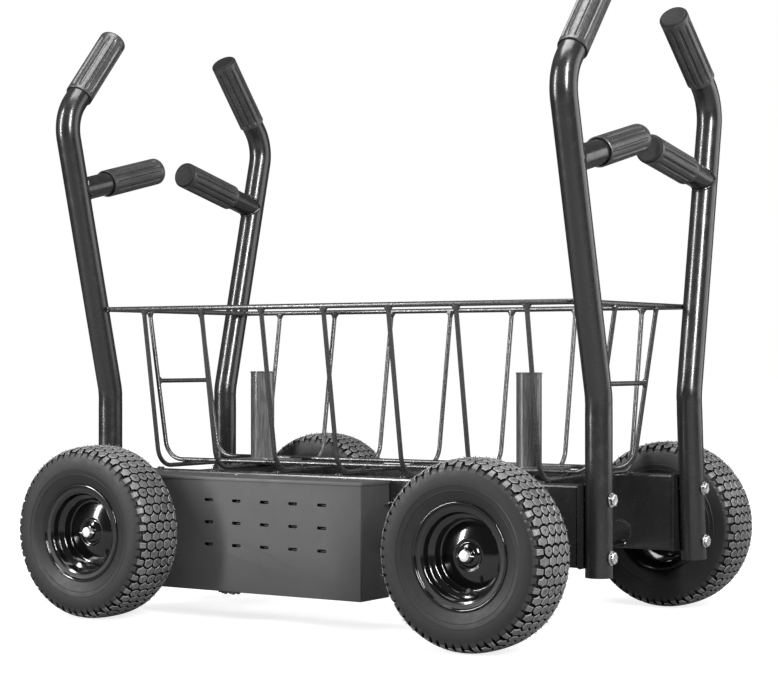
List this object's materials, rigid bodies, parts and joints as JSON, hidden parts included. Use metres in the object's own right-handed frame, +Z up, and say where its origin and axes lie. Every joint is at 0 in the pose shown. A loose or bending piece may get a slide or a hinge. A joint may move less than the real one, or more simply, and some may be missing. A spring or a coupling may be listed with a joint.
{
  "type": "wheeled log cart",
  "caption": "Four-wheel push cart for firewood: wire basket on a steel chassis, four bent uprights with grips at two heights, pneumatic wheels and a vented side box.",
  "frame": {"origin": "on the ground under the middle of the cart", "axes": "+X towards the front end, +Y to the left side, +Z up"},
  "size_m": [1.18, 0.883, 1.1635],
  "materials": {
    "frame_paint": "semi-gloss charcoal powder coat",
    "basket_wire": "semi-gloss dark grey powder coat",
    "box_sheet": "satin dark grey powder coat",
    "wheel_rim": "high-gloss black enamel",
    "tyre": "matte rubber with a turf tread",
    "grip": "fluted satin rubber",
    "zinc": "bright zinc plate",
    "bare_steel": "turned bright steel"
  },
  "bodies": {
    "chassis": {"axle_shaft_front": "bare_steel", "axle_shaft_rear": "bare_steel", "axle_tube_front": "frame_paint", "axle_tube_rear": "frame_paint", "basket_end_bar_front": "basket_wire", "basket_end_bar_rear": "basket_wire", "basket_loop_1": "basket_wire", "basket_loop_2": "basket_wire", "basket_loop_3": "basket_wire", "basket_loop_4": "basket_wire", "basket_loop_5": "basket_wire", "basket_loop_6": "basket_wire", "basket_loop_7": "basket_wire", "basket_rim": "basket_wire", "basket_runner_left": "basket_wire", "basket_runner_right": "basket_wire", "bolt_front_left_lower": "zinc", "bolt_front_left_upper": "zinc", "bolt_front_right_lower": "zinc", "bolt_front_right_upper": "zinc", "bolt_rear_left_lower": "zinc", "bolt_rear_left_upper": "zinc", "bolt_rear_right_lower": "zinc", "bolt_rear_right_upper": "zinc", "box_body": "box_sheet", "box_lid": "box_sheet", "cotter_pin_front_left": "zinc", "cotter_pin_front_right": "zinc", "cotter_pin_rear_left": "zinc", "cotter_pin_rear_right": "zinc", "cross_member_front": "frame_paint", "cross_member_rear": "frame_paint", "end_plate_front_left": "frame_paint", "end_plate_front_right": "frame_paint", "end_plate_rear_left": "frame_paint", "end_plate_rear_right": "frame_paint", "mid_grip_front_left": "grip", "mid_grip_front_right": "grip", "mid_grip_rear_left": "grip", "mid_grip_rear_right": "grip", "post_front": "frame_paint", "post_rear": "frame_paint", "rail_left": "frame_paint", "rail_right": "frame_paint", "top_grip_front_left": "grip", "top_grip_front_right": "grip", "top_grip_rear_left": "grip", "top_grip_rear_right": "grip", "upright_front_left": "frame_paint", "upright_front_right": "frame_paint", "upright_rear_left": "frame_paint", "upright_rear_right": "frame_paint"},
    "wheel_front_left": {"tyre_front_left": "tyre", "wheel_rim_front_left": "wheel_rim"},
    "wheel_front_right": {"tyre_front_right": "tyre", "wheel_rim_front_right": "wheel_rim"},
    "wheel_rear_left": {"tyre_rear_left": "tyre", "wheel_rim_rear_left": "wheel_rim"},
    "wheel_rear_right": {"tyre_rear_right": "tyre", "wheel_rim_rear_right": "wheel_rim"}
  },
  "joints": [
    {"name": "wheel_spin_front_left", "type": "hinge", "parent": "chassis", "child": "wheel_front_left", "pos_m": [0.421, 0.384, 0.165], "axis": [0, 1, 0], "continuous": true},
    {"name": "wheel_spin_front_right", "type": "hinge", "parent": "chassis", "child": "wheel_front_right", "pos_m": [0.421, -0.384, 0.165], "axis": [0, 1, 0], "continuous": true},
    {"name": "wheel_spin_rear_left", "type": "hinge", "parent": "chassis", "child": "wheel_rear_left", "pos_m": [-0.421, 0.384, 0.165], "axis": [0, 1, 0], "continuous": true},
    {"name": "wheel_spin_rear_right", "type": "hinge", "parent": "chassis", "child": "wheel_rear_right", "pos_m": [-0.421, -0.384, 0.165], "axis": [0, 1, 0], "continuous": true}
  ]
}
